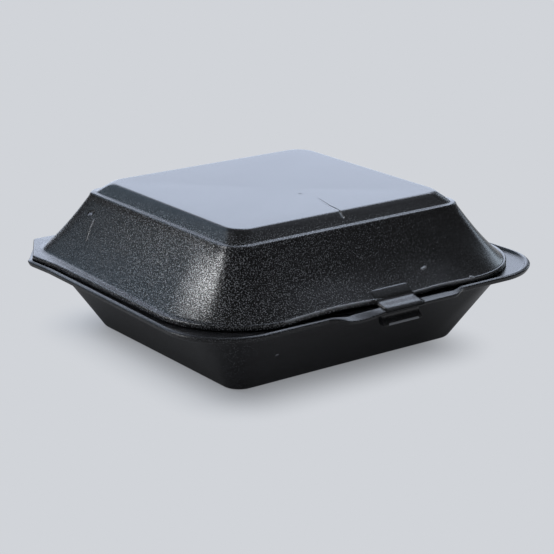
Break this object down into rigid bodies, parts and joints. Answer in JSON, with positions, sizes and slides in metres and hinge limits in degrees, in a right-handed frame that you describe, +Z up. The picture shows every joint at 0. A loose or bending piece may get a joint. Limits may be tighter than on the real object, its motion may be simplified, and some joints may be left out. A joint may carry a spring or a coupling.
{
  "type": "foam clamshell container",
  "caption": "Square black foam take-away container with a sloped tray, a hinged raised lid with a stepped flat top, and a front tab with a tongue latch.",
  "frame": {"origin": "on the tray's flat base, under the middle of the rim, where the container rests", "axes": "+Z up, -Y towards the front tab and latch, +Y towards the hinge, +X along the hinge"},
  "size_m": [0.2316, 0.2133, 0.0827],
  "materials": {
    "black_foam": "satin with a fine pebbled skin"
  },
  "bodies": {
    "base": {"tray": "black_foam", "hinge_web": "black_foam"},
    "cover": {"lid": "black_foam"}
  },
  "joints": [
    {"name": "lid_hinge", "type": "hinge", "parent": "base", "child": "cover", "pos_m": [0, 0.113, 0.0422], "axis": [-1, 0, 0], "range_deg": [0, 180]}
  ]
}
